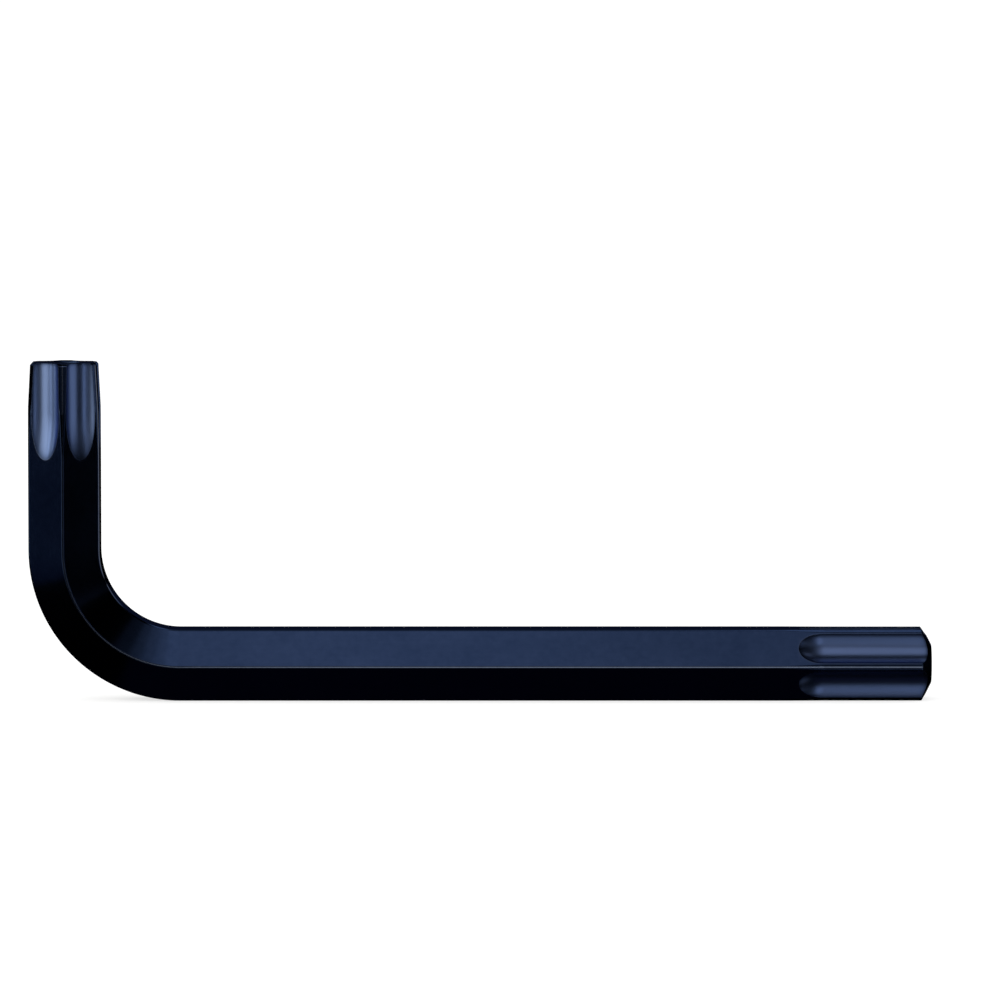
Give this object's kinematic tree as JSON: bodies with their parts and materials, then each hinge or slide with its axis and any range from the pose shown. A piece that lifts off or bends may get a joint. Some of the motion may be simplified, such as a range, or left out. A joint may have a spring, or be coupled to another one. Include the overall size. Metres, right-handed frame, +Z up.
{
  "type": "star key",
  "caption": "L-shaped driver key bent from one hexagonal steel bar, with a fluted six-point star tip and a pin hole at each end.",
  "frame": {"origin": "under the middle of the key's overall box, on the surface that its long arm rests on", "axes": "+X along the long arm to its free end, +Z up the short arm to its end, +Y across the key's symmetry plane"},
  "size_m": [0.1014, 0.009, 0.038],
  "materials": {
    "blued_steel": "blued, glossy"
  },
  "bodies": {
    "root": {"star_key": "blued_steel"}
  },
  "joints": []
}
